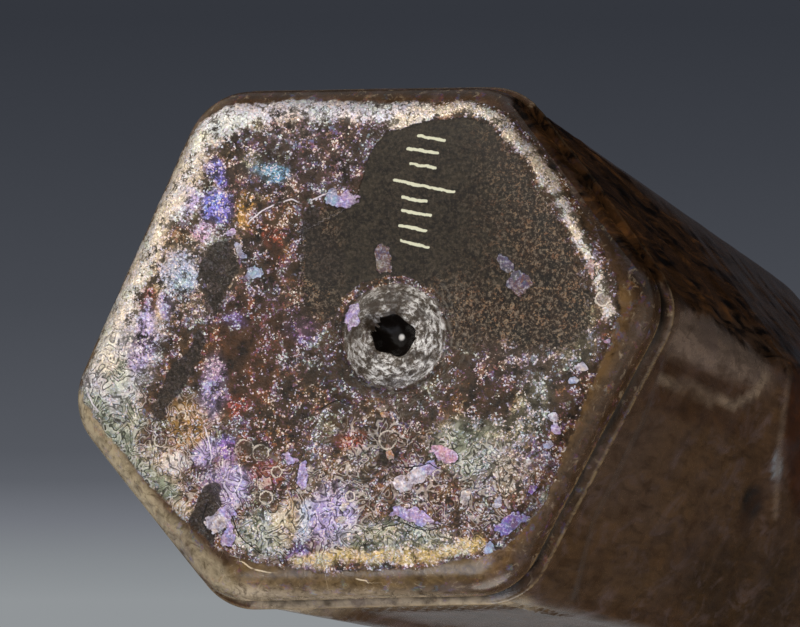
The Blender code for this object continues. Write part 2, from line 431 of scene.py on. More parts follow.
# The neck's fillet, its straight part and the lip's flare as (radius, height)
def neckProfile():
    base = bottle["domeStart"] + bottle["domeHeight"]
    fillet = bottle["neckFillet"]
    neck = bottle["neckRadius"]
    top = base + bottle["neckLength"]
    angles = [math.pi / 2 * share for share in shares(5)]
    points = [(neck + fillet * (1 - math.sin(a)), base + fillet * (1 - math.cos(a))) for a in angles]
    points += [(neck, base + fillet + (bottle["neckLength"] - fillet) * share) for share in shares(12)]
    flare, rise = bottle["lipFlare"], bottle["lipHeight"]
    points += [(neck + flare * share ** 2, top + rise * share) for share in shares(12)]
    return points


# The glass's inner side, from the mouth down to the floor
def innerRings():
    rings = []
    perSide = bottle["fineSide"] // 4
    wall = bottle["bodyWall"]
    for r, z in reversed(neckProfile()[5:]):
        rings.append(ring(z, bodyGrow(z), bottle["bodyCorner"], perSide, r - bottle["neckWall"]))
    wide = bottle["domeRadius"] - bottle["neckRadius"]
    for r, z in reversed(domeProfile(12)[:-1]):
        outwards = (r - bottle["neckRadius"]) / wide ** 2
        upwards = (z - bottle["domeStart"]) / bottle["domeHeight"] ** 2
        normal = Vector((outwards, upwards)).normalized()
        low = z - bottle["shoulderWall"] * normal.y
        reach = r - bottle["shoulderWall"] * normal.x
        rings.append(ring(low, bodyGrow(low) - wall, bottle["bodyCorner"], perSide, reach))
    corner = bottle["bodyCorner"] - wall * bottle["cornerFollow"]
    floor = bottle["floorThickness"]
    bend = bottle["innerFloorRound"]
    for z in np.linspace(bottle["domeStart"], floor + bend + 2, 14):
        rings.append(ring(z, bodyGrow(z) - wall, corner, perSide))
    for k in range(7):
        a = math.pi / 2 * k / 6
        grow = -wall - bottle["innerFloorInset"] - bend * (1 - math.cos(a))
        rings.append(ring(floor + bend * (1 - math.sin(a)), grow, corner, perSide))
    last = rings[-1]
    for share in (0.2, 0.4, 0.6, 0.8, 0.92):
        rings.append(between(last, scarRing(bottle["pitRadius"], floor, perSide), share, floor))
    return rings


# The lip's rolled edge
def lipRings():
    r, z = neckProfile()[-1]
    half = bottle["neckWall"] / 2
    perSide = bottle["fineSide"] // 4
    rings = []
    for k in range(1, 8):
        a = math.pi * k / 8
        reach = r - half + half * math.cos(a)
        top = z + bottle["lipRoll"] * math.sin(a)
        rings.append(ring(top, bodyGrow(z), bottle["bodyCorner"], perSide, reach))
    return rings


# Joins two neighbouring rings whose counts are the same, double or half
def bridge(first, firstCount, last, lastCount):
    faces = []
    if firstCount == lastCount:
        for k in range(firstCount):
            n = (k + 1) % firstCount
            faces.append((first + k, first + n, last + n, last + k))
    elif lastCount == 2 * firstCount:
        for k in range(firstCount):
            n = (k + 1) % firstCount
            a, b, c = last + 2 * k, last + 2 * k + 1, last + (2 * k + 2) % lastCount
            faces += [(first + k, b, a), (first + k, first + n, b), (first + n, c, b)]
    else:
        for k in range(lastCount):
            n = (k + 1) % lastCount
            a, b, c = first + 2 * k, first + 2 * k + 1, first + (2 * k + 2) % firstCount
            faces += [(a, b, last + k), (b, last + n, last + k), (b, c, last + n)]
    return faces


# All rings in one chain, closed over the scar's pit and over the floor inside
def skin():
    outer = outerRings()
    rings = outer + lipRings() + innerRings()
    counts = [len(one["points"]) for one in rings]
    starts = np.concatenate([[0], np.cumsum(counts)])
    points = np.vstack([one["points"] for one in rings])
    values = {name: np.concatenate([one[name] for one in rings]) for name in ("round", "turn")}
    values["inner"] = (np.arange(len(points)) >= starts[len(outer) + 4]).astype(float)
    faces = []
    for k in range(len(rings) - 1):
        faces += bridge(int(starts[k]), counts[k], int(starts[k + 1]), counts[k + 1])
    pit = len(points)
    last = int(starts[-2])
    first = points[:counts[0]].mean(0) + np.array([0, 0, 0.02])
    end = points[last:].mean(0)
    points = np.vstack([points, first, end])
    for name, filler in (("round", 1.0), ("turn", 0.0), ("inner", 0.0)):
        values[name] = np.concatenate([values[name], [filler, filler]])
    values["inner"][-1] = 1.0
    for k in range(counts[0]):
        faces.append((pit, (k + 1) % counts[0], k))
    for k in range(counts[-1]):
        faces.append((pit + 1, last + k, last + (k + 1) % counts[-1]))
    # The uneven sides' middle is on the Z axis, as the solid's is
    for axis in (0, 1):
        points[:, axis] += middleShift[axis]
    return points, faces, values


# How far the neck's axis stands from the middle of the box: the camera and the solid share this shift
middleShift = (-7.335, -2.222)

# Colours of the weathering and of the highlights painted along the rounded edge, as a screen shows them
tones = {
    "silver": (206, 202, 198), "champagne": (190, 172, 136), "lilac": (168, 156, 202),
    "blueViolet": (98, 104, 190), "teal": (88, 138, 156), "gold": (172, 132, 60),
    "red": (150, 62, 40), "rust": (104, 58, 28),
    "pink": (192, 152, 174), "paleBlue": (156, 172, 190), "brown": (88, 64, 42), "darkBrown": (46, 34, 23),
    "olive": (84, 76, 54), "greenGrey": (132, 142, 118), "violet": (116, 90, 158), "grey": (118, 114, 106),
    "cream": (214, 204, 178), "purpleBrown": (88, 73, 74), "greyGlass": (92, 84, 76), "mauve": (84, 72, 70),
    "straw": (208, 182, 112), "side": (76, 56, 38),
}

# Areas of the underside's crust, each laid over those before it:
# pixel across and down, half width, half height, turn in degrees, tone, share of bright grains, strength
crustAreas = [
    (240, 330, 190, 260, 0, "brown", 0.42, 1.0),
    (300, 160, 110, 40, -8, "purpleBrown", 0.40, 0.9),
    (265, 325, 60, 45, 0, "purpleBrown", 0.45, 0.7),
    (150, 260, 50, 110, 30, "champagne", 0.60, 0.7),
    (205, 270, 34, 60, 25, "grey", 0.60, 0.6),
    (120, 365, 34, 60, 25, "silver", 0.78, 0.85),
    (118, 375, 14, 22, 0, "greenGrey", 0.75, 0.8),
    (142, 355, 12, 26, 20, "violet", 0.70, 0.6),
    (150, 300, 9, 12, 0, "red", 0.55, 0.7),
    (145, 322, 8, 18, 15, "lilac", 0.75, 0.8),
    (168, 306, 9, 9, 0, "lilac", 0.7, 0.7),
    (180, 273, 20, 22, 20, "paleBlue", 0.82, 0.8),
    (184, 228, 14, 18, 0, "brown", 0.5, 0.8),
    (205, 232, 11, 10, 0, "pink", 0.85, 0.8),
    (246, 350, 44, 60, 10, "rust", 0.30, 0.9),
    (246, 362, 26, 34, 0, "rust", 0.12, 0.8),
    (239, 404, 15, 12, 0, "red", 0.5, 0.8),
    (212, 388, 14, 34, 5, "lilac", 0.62, 0.6),
    (188, 425, 22, 26, 0, "gold", 0.55, 0.55),
    (128, 420, 16, 24, 0, "greenGrey", 0.6, 0.8),
    (118, 448, 18, 12, 20, "silver", 0.7, 0.6),
    (158, 470, 28, 24, 30, "champagne", 0.6, 0.7),
    (146, 480, 12, 7, 30, "lilac", 0.7, 0.6),
    (175, 462, 16, 12, 20, "silver", 0.7, 0.6),
    (178, 510, 13, 14, 20, "champagne", 0.6, 0.8),
    (226, 449, 13, 15, 0, "violet", 0.45, 0.9),
    (205, 452, 10, 16, 10, "lilac", 0.62, 0.7),
    (252, 448, 22, 20, 0, "rust", 0.3, 0.7),
    (265, 476, 18, 14, 0, "red", 0.35, 0.5),
    (228, 485, 24, 20, 20, "lilac", 0.5, 0.7),
    (264, 535, 26, 24, 0, "greenGrey", 0.62, 0.85),
    (290, 520, 16, 20, 0, "champagne", 0.6, 0.6),
    (308, 520, 12, 22, 10, "paleBlue", 0.72, 0.8),
    (305, 558, 14, 12, 10, "violet", 0.68, 0.85),
    (335, 515, 26, 32, 0, "lilac", 0.66, 0.75),
    (330, 470, 40, 30, 0, "olive", 0.42, 0.6),
    (345, 430, 50, 26, 0, "brown", 0.40, 0.7),
    (352, 440, 14, 10, 0, "red", 0.4, 0.5),
    (400, 430, 44, 24, 0, "darkBrown", 0.32, 0.7),
    (345, 380, 34, 34, 0, "darkBrown", 0.34, 0.8),
    (392, 540, 60, 22, 0, "greenGrey", 0.6, 0.75),
    (472, 445, 40, 32, 0, "greenGrey", 0.34, 0.75),
    (500, 470, 30, 30, -30, "grey", 0.5, 0.6),
    (500, 365, 40, 24, 0, "purpleBrown", 0.5, 0.75),
    (540, 350, 40, 36, 0, "grey", 0.42, 0.5),
    (530, 410, 22, 40, 25, "greenGrey", 0.5, 0.7),
    (575, 330, 24, 40, 0, "greenGrey", 0.55, 0.6),
    (215, 170, 10, 9, 0, "blueViolet", 0.62, 0.95),
    (223, 181, 7, 7, 0, "blueViolet", 0.6, 0.9),
    (214, 207, 17, 16, 10, "blueViolet", 0.66, 0.95),
    (184, 199, 13, 12, 0, "lilac", 0.85, 0.85),
    (272, 172, 22, 11, 5, "teal", 0.68, 0.95),
    (252, 160, 10, 9, 0, "greenGrey", 0.6, 0.7),
    (244, 209, 12, 20, 18, "gold", 0.52, 0.95),
    (262, 196, 9, 6, 0, "gold", 0.5, 0.8),
    (228, 153, 14, 10, 0, "olive", 0.45, 0.85),
    (273, 241, 12, 16, -10, "red", 0.35, 0.95),
    (274, 262, 8, 16, 0, "rust", 0.35, 0.9),
    (248, 250, 14, 12, 0, "purpleBrown", 0.35, 0.8),
    (235, 318, 14, 9, 0, "violet", 0.45, 0.7),
    (300, 330, 18, 16, 0, "violet", 0.4, 0.35),
    (255, 124, 14, 10, 0, "champagne", 0.75, 0.7),
    (292, 134, 26, 12, 0, "grey", 0.55, 0.5),
]

# The bright crust along the rounded edge, lightened as a painted highlight where light falls on the rounding:
# a chain of pixels with its half width and tone
rimCrustAndHighlightChains = [
    ([(98, 356), (114, 312), (138, 260), (163, 210), (188, 160), (206, 132), (232, 114)], 15, "cream", 0.90),
    ([(214, 124), (240, 112), (290, 109), (340, 109), (392, 111), (420, 114)], 10.5, "silver", 0.76),
    ([(396, 124), (430, 113), (460, 110), (486, 113), (504, 124), (520, 141), (538, 163), (557, 191),
      (571, 218), (583, 242), (594, 264), (603, 290), (609, 314)], 6, "cream", 0.90),
    # The straw band along the bottom edge is a painted highlight
    ([(300, 562), (330, 558), (372, 557), (410, 556), (450, 551), (486, 541)], 6, "straw", 0.9),
    ([(96, 400), (112, 430), (140, 462), (168, 492)], 9, "greenGrey", 0.35),
]

# Where the crust ends, as a closed chain of pixels
crustOutline = [
    (84, 402), (84, 378), (99, 336), (125, 280), (154, 216), (183, 153), (203, 119), (226, 106),
    (262, 102), (330, 101), (400, 102), (460, 102), (494, 105), (516, 117), (544, 148), (568, 182),
    (592, 222), (608, 256), (620, 288), (620, 312), (612, 336), (597, 372), (582, 408), (568, 444),
    (556, 478), (543, 505), (524, 528), (504, 546), (480, 558), (430, 566), (380, 570), (320, 572),
    (264, 565), (234, 556), (212, 545), (190, 528), (166, 503), (140, 474), (118, 446), (98, 424),
]

# Where the crust's layers show as fine lines: pixel across and down, half width, half height
layeredAreas = [
    (150, 455, 90, 80), (300, 515, 140, 62), (440, 490, 110, 75), (112, 380, 34, 60), (380, 450, 60, 50),
]

# Tones of the sides, with a painted glint and a pale area painted as light on a corner's rounding: pixel
# across and down, half width, half height, turn, colour, strength
sideAreas = [
    (640, 480, 60, 70, 30, (92, 74, 60), 0.6), (600, 560, 70, 46, 0, (88, 66, 44), 0.7),
    # The first area here is the corner's rounding painted pale as light falling on it
    (722, 352, 56, 40, 20, (134, 116, 102), 0.88), (700, 480, 46, 56, 0, (88, 66, 44), 0.7),
    (610, 585, 70, 22, 0, (86, 66, 46), 0.6), (740, 590, 60, 50, 0, (62, 46, 28), 0.8),
    (752, 502, 10, 17, 10, (26, 26, 24), 0.95), (802, 425, 16, 84, 0, (104, 56, 18), 0.85),
    # A painted glint, the reflection of a lamp
    (777, 467, 4.5, 15, 0, (156, 172, 182), 0.9),
]
sideChains = [
    ([(80, 400), (110, 455), (150, 508), (200, 560), (230, 588)], 11, (176, 160, 128), 0.88),
    ([(84, 372), (120, 285), (160, 195), (205, 110), (226, 97)], 5, (112, 88, 50), 0.7),
    ([(226, 96), (330, 90), (500, 92)], 5, (50, 34, 19), 0.9),
    ([(516, 96), (556, 136), (592, 184), (624, 238), (648, 280)], 16, (30, 20, 11), 0.95),
    ([(250, 594), (360, 608), (520, 614)], 16, (186, 168, 140), 0.9),
    ([(616, 300), (600, 352), (560, 430), (522, 515), (490, 562)], 16, (120, 92, 56), 0.85),
    ([(480, 566), (400, 578), (300, 582), (240, 572)], 12, (120, 98, 64), 0.85),
    ([(690, 236), (740, 273), (800, 322)], 10, (70, 58, 50), 0.6),
    ([(660, 362), (700, 376), (742, 392)], 9, (66, 44, 26), 0.9),
    ([(650, 398), (690, 412), (745, 428)], 9, (72, 50, 32), 0.8),
    ([(662, 377), (690, 388), (712, 400), (735, 405), (757, 392), (766, 375)], 3.5, (166, 146, 124), 0.6),
    ([(728, 304), (752, 314), (770, 329), (784, 350), (790, 372), (786, 402), (780, 440), (777, 480),
      (776, 515)], 2.8, (134, 114, 96), 0.6),
    # A painted shadow line along the corner's rounding
    ([(655, 243), (685, 268), (709, 272), (727, 298), (750, 318), (765, 322), (780, 340), (800, 358)], 5,
     (16, 11, 7), 0.9),
    ([(520, 603), (560, 612), (600, 614), (660, 620)], 2.5, (150, 132, 104), 0.6),
]
amberArea = (802, 430, 16, 90, 0)
tornChain = [(540, 118), (572, 158), (610, 204), (650, 240), (694, 268), (734, 296), (770, 322), (800, 346)]

# Crisp smooth flakes: pixel across and down, half width, half height, turn, tone
flakes = [
    (331, 199, 8, 8, 0, "paleBlue"), (347, 200, 13, 7, -28, "lilac"), (257, 273, 11, 6, -5, "paleBlue"),
    (384, 257, 9, 15, -12, "greyGlass"), (519, 283, 12, 13, 0, "mauve"), (506, 264, 5, 12, -25, "mauve"),
    (352, 316, 8, 12, 15, "lilac"), (420, 474, 15, 8, -24, "silver"), (402, 484, 13, 8, 10, "silver"),
    (428, 470, 11, 8, -10, "lilac"), (414, 517, 24, 8, 12, "lilac"), (444, 455, 17, 8, 32, "pink"),
    (467, 498, 5, 8, 10, "cream"), (510, 523, 17, 8, -25, "violet"), (490, 549, 6, 9, 12, "paleBlue"),
    (291, 458, 14, 5, 22, "lilac"), (303, 475, 7, 15, -4, "lilac"), (216, 524, 12, 12, 20, "silver"),
    (228, 512, 9, 8, 0, "lilac"), (229, 536, 7, 12, 12, "lilac"), (237, 246, 4, 10, -30, "paleBlue"),
    (228, 233, 7, 4, -15, "lilac"), (532, 490, 7, 5, -20, "violet"), (554, 419, 5, 6, 0, "silver"),
    (554, 431, 5, 5, 0, "lilac"), (580, 368, 7, 5, -20, "silver"), (572, 380, 4, 5, 0, "paleBlue"),
    (547, 446, 5, 4, 0, "paleBlue"), (585, 246, 6, 4, 0, "gold"), (592, 270, 5, 8, -15, "gold"),
    (605, 341, 5, 4, 0, "pink"), (387, 414, 7, 4, 10, "gold"), (391, 452, 5, 9, -20, "gold"),
    (498, 505, 5, 8, 20, "paleBlue"), (345, 507, 4, 4, 0, "cream"), (343, 519, 5, 4, 0, "champagne"),
]

# Dark places: torn scabs and the long dark strip, with how dark each is
scabs = [
    (218, 267, 17, 26, 10, 0.85), (212, 300, 12, 16, 0, 0.5), (176, 378, 12, 36, 28, 0.72),
    (196, 345, 10, 20, 20, 0.6), (203, 511, 14, 30, 20, 1.0), (196, 538, 17, 8, 12, 1.0),
    (186, 534, 7, 6, 0, 1.0), (312, 228, 14, 22, 0, 0.55), (250, 448, 10, 11, 0, 0.5),
    (390, 452, 12, 16, 0, 0.45), (322, 262, 24, 30, 0, 0.5), (306, 372, 24, 26, 0, 0.35),
    (420, 400, 40, 16, 0, 0.3), (158, 413, 9, 12, 20, 0.5),
]

# The smooth area where the crust is lost, by its outline's pixels
bareOutline = [
    (434, 121), (462, 118), (486, 122), (504, 136), (522, 160), (541, 190), (560, 222), (576, 255),
    (588, 290), (590, 330), (566, 352), (530, 352), (500, 342), (470, 350), (452, 352), (449, 320),
    (436, 292), (412, 278), (388, 276), (362, 283), (344, 296), (332, 322), (318, 322), (303, 300),
    (297, 268), (304, 236), (316, 212), (334, 207), (346, 209), (359, 198), (363, 168), (374, 148),
    (392, 131), (412, 124),
]

# Raised light edges, partly painted glints along them, and dark cracks, as chains of pixels
lightAndGlintEdges = [
    [(226, 234), (244, 228), (252, 219), (262, 211), (276, 204), (292, 199), (304, 205)],
    [(304, 205), (314, 199), (326, 194)],
    [(244, 563), (252, 569), (266, 572), (276, 573), (283, 569)],
    [(348, 575), (356, 579), (366, 581)],
    [(88, 392), (92, 402), (98, 411), (104, 414)],
    [(206, 430), (210, 445), (212, 458), (208, 470)],
    [(240, 468), (242, 480), (236, 490)],
]
cracks = [
    [(232, 519), (237, 531), (247, 543), (257, 553)],
    [(182, 545), (188, 556)],
    [(206, 505), (200, 520), (204, 530)],
    [(385, 528), (400, 524), (420, 530), (437, 528)],
    [(398, 466), (412, 466), (430, 463), (438, 470)],
    [(318, 410), (336, 402), (350, 404)],
]


# How the painted places lie on the skin, in millimetres, with the steep sides' turns in radians
weathering = {
    "underHeight": 5.5, "bendHeight": 20.0,
    "bends": [(7.0, 4.0), (3.5, 1.2)],      # pixels and size of each noise that bends the places
    "fineBend": 0.45, "baseCover": 0.35,      # share of the bend at fine edges, and of bright grains
    "shownHeight": 205.0, "footHeight": 9.0,      # what the picture shows of the sides and of the foot
    "steepTurns": (-0.88, 1.08), "steepStart": 22.0, "steepFade": 28.0,
    "tornPixels": 22.0, "tornStart": 50.0, "tornFade": 80.0,      # half width in the picture, heights
    "pitReach": 3.0, "pitRise": 0.25,
}
farAway = 3.0      # further than this from an edge or a line, nothing of it shows


def noiseOf(points, size, seed):
    offset = Vector((seed * 7.3, seed * 3.1, seed * 5.7))
    return np.array([softNoise.noise(Vector(p) / size + offset) for p in points])


# 0 in the middle of a turned ellipse of the picture, 1 on its edge
def ellipse(px, py, x, y, wide, tall, turn):
    a = math.radians(turn)
    dx = px - x
    dy = py - y
    along = dx * math.cos(a) + dy * math.sin(a)
    aside = dy * math.cos(a) - dx * math.sin(a)
    return np.hypot(along / wide, aside / tall)


# Distance in pixels from a chain of pixels, and its signed form across the chain
def fromChain(px, py, chain, closed=False):
    best = np.full(len(px), 1e9)
    signed = np.zeros(len(px))
    links = list(zip(chain, chain[1:] + chain[:1])) if closed else list(zip(chain, chain[1:]))
    for (x0, y0), (x1, y1) in links:
        length = math.hypot(x1 - x0, y1 - y0)
        ux, uy = (x1 - x0) / length, (y1 - y0) / length
        along = np.clip((px - x0) * ux + (py - y0) * uy, 0, length)
        distance = np.hypot(px - x0 - ux * along, py - y0 - uy * along)
        cross = (px - x0) * uy - (py - y0) * ux
        closer = distance < best
        best = np.where(closer, distance, best)
        signed = np.where(closer, cross, signed)
    return best, signed


def insideOutline(px, py, chain):
    inside = np.zeros(len(px), bool)
    for (x0, y0), (x1, y1) in zip(chain, chain[1:] + chain[:1]):
        if y0 == y1:
            continue
        crosses = (y0 > py) != (y1 > py)
        inside ^= crosses & (px < x0 + (py - y0) * (x1 - x0) / (y1 - y0))
    return inside


# Signed distance in pixels from a closed chain, positive inside it
def depthInside(px, py, chain):
    distance, _ = fromChain(px, py, chain, True)
    return np.where(insideOutline(px, py, chain), distance, -distance)


# Signed distance in millimetres from the nearest of some chains
def fromNearest(px, py, chains):
    nearest = np.full(len(px), farAway)
    for chain in chains:
        distance, signed = fromChain(px, py, chain)
        closer = distance < np.abs(nearest) * pixelsPerMillimetre
        nearest = np.where(closer, np.sign(signed) * distance / pixelsPerMillimetre, nearest)
    return nearest


# Colours are laid one over another on the points, from a base colour
class Tint:
    def __init__(self, count, base):
        self.rgb = np.tile(np.array(paint(*base)[:3]), (count, 1))

    def lay(self, share, color):
        self.rgb = self.rgb * (1 - share[:, None]) + np.array(paint(*color)[:3]) * share[:, None]


# Bends the picture's places by noise, so that painted edges are ragged
def bendOf(points, near, seed):
    bend = np.zeros(len(points))
    for k, (pixels, size) in enumerate(weathering["bends"]):
        bend[near] += pixels * noiseOf(points[near], size, seed + k)
    return bend


# 1 inside a turned ellipse of the picture, fading over a soft edge
def softEllipse(px, py, row, start, soft):
    return 1 - smoothShare((ellipse(px, py, *row) - start) / soft)


# The underside's crust, flakes, bare glass and lines
def undersideValues(points, px, py, outer):
    near = np.where(outer & (points[:, 2] < weathering["bendHeight"]))[0]
    bendX = bendOf(points, near, 1)
    bendY = bendOf(points, near, 3)
    wx, wy = px + bendX, py + bendY
    fx, fy = px + bendX * weathering["fineBend"], py + bendY * weathering["fineBend"]
    tint = Tint(len(points), tones["brown"])
    cover = np.full(len(points), weathering["baseCover"])
    for *row, tone, amount, strength in crustAreas:
        share = strength * softEllipse(wx, wy, row, 0.65, 0.6)
        tint.lay(share, tones[tone])
        cover = cover * (1 - share) + amount * share
    cover += (0.20 + 0.10 * smoothShare(np.abs(px - 330) / 130)) * smoothShare((py - 400) / 60)
    rim = np.zeros(len(points))
    # Bright crust along the rounded edges, lightened partly as a painted highlight
    for chain, half, tone, amount in rimCrustAndHighlightChains:
        distance, _ = fromChain(wx, wy, chain)
        share = 1 - smoothShare((distance - half * 0.55) / (half * 0.9))
        tint.lay(share * 0.9, tones[tone])
        cover = cover * (1 - share * 0.9) + amount * (share * 0.9)
        rim = np.maximum(rim, share * amount)
    flake = np.full(len(points), -farAway)
    flakeTint = Tint(len(points), tones["lilac"])
    for *row, tone in flakes:
        depth = (1 - ellipse(fx, fy, *row)) * min(row[2:4]) / pixelsPerMillimetre
        closer = depth > flake
        flake = np.where(closer, depth, flake)
        flakeTint.rgb[closer] = paint(*tones[tone])[:3]
    scab = np.zeros(len(points))
    for *row, strength in scabs:
        scab = np.maximum(scab, strength * softEllipse(wx, wy, row, 0.7, 0.45))
    layered = np.zeros(len(points))
    for row in layeredAreas:
        layered = np.maximum(layered, softEllipse(wx, wy, (*row, 0), 0.6, 0.5))
    loose = smoothShare((py - 255) / 60) * smoothShare((px - 395) / 70)
    loose = np.maximum(np.maximum(smoothShare((px - 450) / 120), loose), 0.8 * smoothShare((350 - px) / 30))
    values = {
        "cover": cover, "rim": rim, "flake": flake, "scab": scab, "layered": layered, "loose": loose,
        "bare": depthInside(fx, fy, bareOutline) / pixelsPerMillimetre,
        "crustEdge": depthInside(fx, fy, crustOutline) / pixelsPerMillimetre,
        "light": fromNearest(px, py, lightAndGlintEdges), "crack": fromNearest(fx, fy, cracks),
    }
    return values, tint.rgb, flakeTint.rgb


# The sides that the picture shows, by the direction that they face
def sideValues(points, px, py, turn, outer):
    z = points[:, 2]
    toX, toY = view["place"][0] - points[:, 0], view["place"][1] - points[:, 1]
    facing = np.cos(turn) * toX + np.sin(turn) * toY
    seen = outer & ((facing > 0) | (z < weathering["footHeight"])) & (z < weathering["shownHeight"])
    first, last = weathering["steepTurns"]
    low = 1 - smoothShare((z - weathering["steepStart"]) / weathering["steepFade"])
    lowOnly = np.where((turn > last) | (turn < first), low, 1)
    tint = Tint(len(points), tones["side"])
    for *row, color, strength in sideAreas:
        share = strength * softEllipse(px, py, row, 0.7, 0.6)
        tint.lay(np.where(seen, share * lowOnly, 0), color)
    for chain, half, color, strength in sideChains:
        distance, _ = fromChain(px, py, chain)
        share = strength * (1 - smoothShare((distance - half * 0.5) / half))
        tint.lay(np.where(seen, share * lowOnly, 0), color)
    distance, _ = fromChain(px, py, tornChain)
    wide = weathering["tornPixels"]
    torn = np.where(seen & (z > 2), 1 - smoothShare((distance - wide) / wide), 0)
    torn *= 1 - 0.55 * smoothShare((z - weathering["tornStart"]) / weathering["tornFade"])
    amber = np.where(seen, softEllipse(px, py, amberArea, 0.8, 0.4), 0)
    return {"torn": torn, "amber": amber}, tint.rgb


# Where each finish lies, kept on the points for the shader and for the relief
def finishValues(points, values):
    px, py = toPicture(points)
    outer = values["inner"] < 0.5
    z = points[:, 2]
    under = outer & (z < weathering["underHeight"])
    below, tint, flakeTint = undersideValues(points, px, py, outer)
    beside, sideTint = sideValues(points, px, py, values.pop("turn"), outer)
    elsewhere = {"rim": 0, "scab": 0, "flake": -farAway, "bare": -farAway, "crustEdge": -farAway,
                 "light": farAway, "crack": farAway}
    for name, filler in elsewhere.items():
        below[name] = np.clip(np.where(under, below[name], filler), -farAway, farAway)
    # The pit inside the scar, which the shader paints near-black as its shade
    scarX, scarY = bottle["scarX"] + middleShift[0], bottle["scarY"] + middleShift[1]
    reach = np.hypot(points[:, 0] - scarX, points[:, 1] - scarY)
    deep = z > bottle["hollowRise"] - bottle["scarDrop"] + weathering["pitRise"]
    pit = under & (reach < weathering["pitReach"]) & deep
    values.update(below)
    values.update(beside)
    values.update(under=under.astype(float), pit=pit.astype(float))
    return {"tint": tint, "flakeTint": flakeTint, "sideTint": sideTint}


def makeSkin():
    points, faces, values = skin()
    print("skin", len(points), "points", sum(len(face) - 2 for face in faces), "triangles")
    colors = finishValues(points, values)
    mesh = bpy.data.meshes.new("bottle_glass")
    mesh.from_pydata((points * millimetre).tolist(), [], faces)
    for name, array in values.items():
        mesh.attributes.new(name, "FLOAT", "POINT").data.foreach_set("value", np.asarray(array, np.float32))
    for name, array in colors.items():
        filled = np.column_stack([array, np.ones(len(array))]).astype(np.float32)
        mesh.attributes.new(name, "FLOAT_COLOR", "POINT").data.foreach_set("color", filled.ravel())
    mesh.shade_smooth()
    made = bpy.data.objects.new("bottle_glass", mesh)
    bpy.context.scene.collection.objects.link(made)
    return made


# Colour stops of a thin film's interference, from silver through gold and violet to green
filmStops = [
    (0.00, paint(214, 210, 206)), (0.16, paint(206, 186, 140)), (0.28, paint(190, 130, 66)),
    (0.38, paint(160, 70, 52)), (0.50, paint(124, 78, 150)), (0.62, paint(96, 104, 190)),
    (0.74, paint(98, 160, 178)), (0.86, paint(140, 170, 130)), (1.00, paint(204, 190, 170)),
]

crust = {
    "grain": 0.26, "coarseGrain": 0.62, "spark": 0.19, "clump": 1.5, "filmSize": 5.0,
    "layerSize": 2.6, "layerLines": 9.0, "inkHalf": 0.19, "bump": 0.00011,
    "height": 1.0,    # where strokes and bubbles are read from the picture
    # The scar's edge, and the pixel and height of the glint painted in the pit
    "scarEdge": 7.1, "glintPixel": (401, 337), "glintHeight": 1.8,
}

# Plain strokes of white ink, as pixels at both ends
inkStrokes = [
    ((401, 241), (428, 247)), ((400, 226), (426, 231)), ((403, 211), (431, 216)), ((404, 198), (427, 202)),
    ((396, 181), (455, 193)), ((412, 165), (437, 169)), ((410, 150), (439, 154)), ((420, 137), (446, 142)),
]

# Burst bubbles: pixel across and down, and half width
bubbles = [
    (163, 441, 6.5), (278, 472, 5.5), (268, 498, 6.5), (246, 449, 9), (262, 453, 8), (184, 416, 4),
    (604, 300, 7), (352, 497, 5), (440, 476, 6), (388, 440, 9),
]


# Lays tones over a colour one after another, each with its share
def layers(color, rows):
    for tone, share in rows:
        color = color.mixColor(tone, share)
    return color


# Places in millimetres, noises and values on the points, as the finishes share them
def sharedFields(w):
    s = SimpleNamespace()
    place = w.node("ShaderNodeTexCoord", output=3)
    scaled = w.node("ShaderNodeVectorMath", {"operation": "SCALE"}, {0: place, "Scale": 1 / millimetre})
    s.x, s.y, s.z = [w.node("ShaderNodeSeparateXYZ", {}, {0: scaled}, k) for k in range(3)]

    def clouds(size, detail=3.0, roughness=0.55, warp=0.0, where=scaled):
        names = {"Vector": where, "Scale": 1 / size, "Detail": detail, "Roughness": roughness}
        return w.node("ShaderNodeTexNoise", {}, {**names, "Distortion": warp})

    def cells(size, output):
        names = {"Vector": scaled, "Scale": 1 / size}
        return w.node("ShaderNodeTexVoronoi", {"feature": "F1"}, names, output)

    # Three chances of each cell, read from its colour
    def chances(size):
        color = cells(size, "Color")
        return [w.node("ShaderNodeSeparateColor", {}, {0: color}, k) for k in range(3)]

    s.clouds = clouds
    s.cells = cells
    s.tint = w.attribute("tint", "Color")
    for name in ("cover", "layered", "loose", "rim"):
        setattr(s, name, w.attribute(name))
    s.fine = clouds(0.42, 4.0, 0.7)
    s.mid = clouds(1.0, 3.0, 0.6)
    s.soft = clouds(3.0, 4.0, 0.6)
    s.broad = clouds(14.0, 3.0, 0.5)
    s.ragged = (clouds(0.9, 4.0, 0.7) - 0.5) * 2.0
    s.bent = (clouds(1.3, 2.0, 0.5) - 0.5) * 2.0
    s.broken = (clouds(2.2, 2.0) - 0.5 + 0.1).step(-0.04, 0.12)
    s.clump = clouds(crust["clump"], 3.0, 0.6)
    s.chance, s.hue, s.glow = chances(crust["grain"])
    s.coarseChance, s.coarseHue, _ = chances(crust["coarseGrain"])
    s.sparkChance, s.sparkHue, s.sparkGlow = chances(crust["spark"])
    return s


